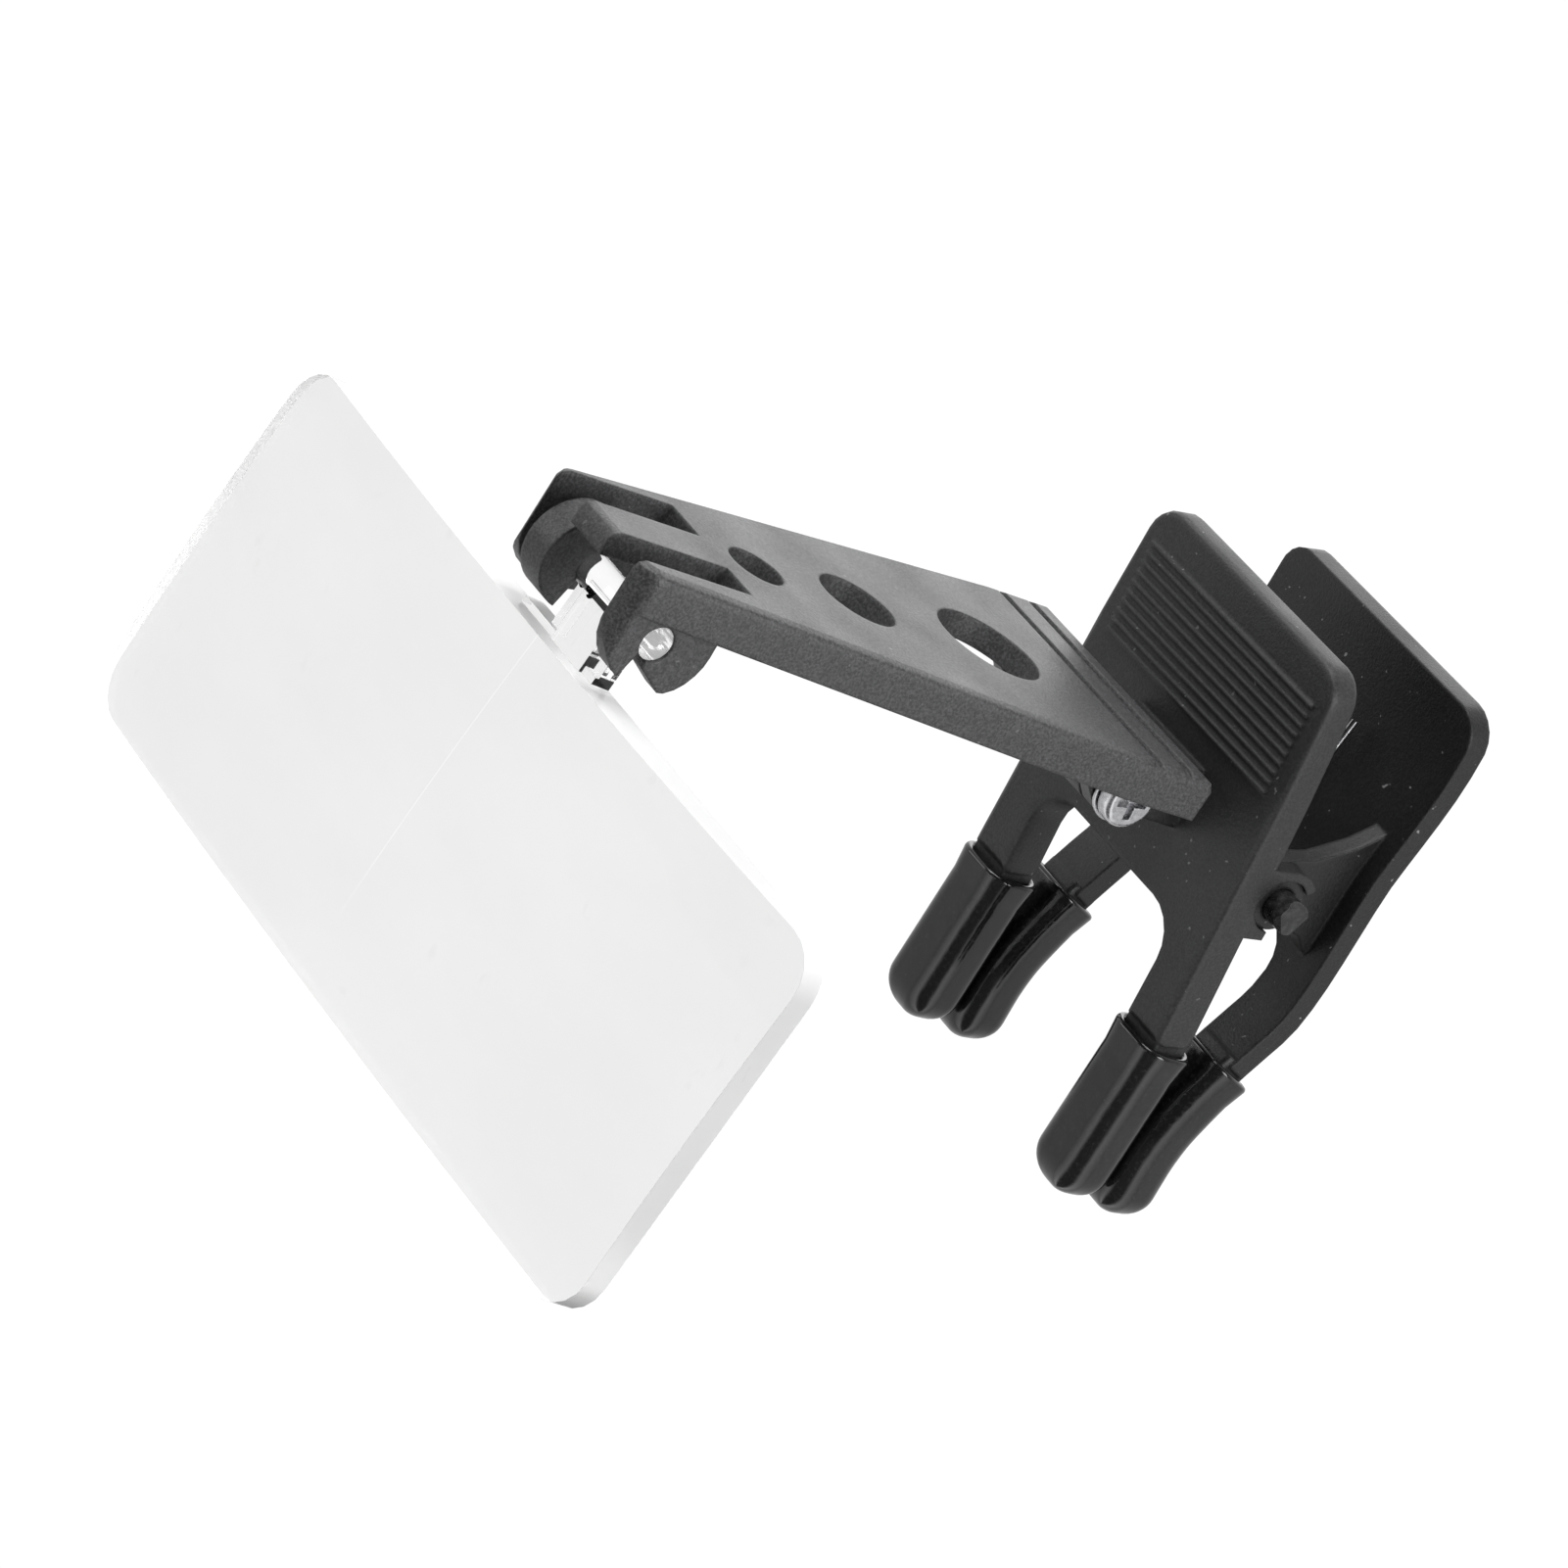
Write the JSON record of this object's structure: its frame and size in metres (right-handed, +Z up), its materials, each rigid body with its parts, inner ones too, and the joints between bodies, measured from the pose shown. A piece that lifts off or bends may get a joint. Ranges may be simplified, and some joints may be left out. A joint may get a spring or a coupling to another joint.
{
  "type": "clip-on magnifier",
  "caption": "Clip-on magnifier for spectacles: a clear wide lens hinged under a tapered black arm, which tilts on a sprung two-jaw clip with soft sleeves on its prongs.",
  "frame": {"origin": "grip point in the middle between the closed front and rear jaw sleeves, a little above their tips", "axes": "+X towards the side with the screw head, +Y from the lens to the clip, +Z up, from the sleeves to the thumb pads"},
  "size_m": [0.084, 0.0922, 0.0527],
  "materials": {
    "black_plastic": "fine moulded texture, satin",
    "black_vinyl": "dipped, glossy",
    "clear_acrylic": "clear, polished",
    "zinc_steel": "zinc plated",
    "dark_steel": "blackened, glossy"
  },
  "bodies": {
    "front_jaw_body": {"front_jaw": "black_plastic", "torsion_spring": "zinc_steel", "sleeve_front_left": "black_vinyl", "sleeve_front_right": "black_vinyl"},
    "rear_jaw_body": {"rear_jaw": "black_plastic", "pivot_pin": "dark_steel", "sleeve_rear_left": "black_vinyl", "sleeve_rear_right": "black_vinyl"},
    "arm_body": {"arm": "black_plastic", "hinge_screw": "zinc_steel", "hinge_nut": "zinc_steel", "hinge_washer_near": "zinc_steel", "hinge_washer_far": "zinc_steel"},
    "lens_body": {"lens": "clear_acrylic"}
  },
  "joints": [
    {"name": "jaw_open", "type": "hinge", "parent": "front_jaw_body", "child": "rear_jaw_body", "pos_m": [0, 0.0031, 0.0278], "axis": [1, 0, 0], "range_deg": [0, 30], "stiffness_Nm_per_rad": 0.15, "springref_deg": -57.3, "deforming": ["torsion_spring"]},
    {"name": "arm_tilt", "type": "hinge", "parent": "front_jaw_body", "child": "arm_body", "pos_m": [0, -0.01205, 0.033], "axis": [1, 0, 0], "range_deg": [-15, 60]},
    {"name": "lens_flip", "type": "hinge", "parent": "arm_body", "child": "lens_body", "pos_m": [0, -0.06337, 0.04196], "axis": [1, 0, 0], "range_deg": [-30, 90]}
  ]
}
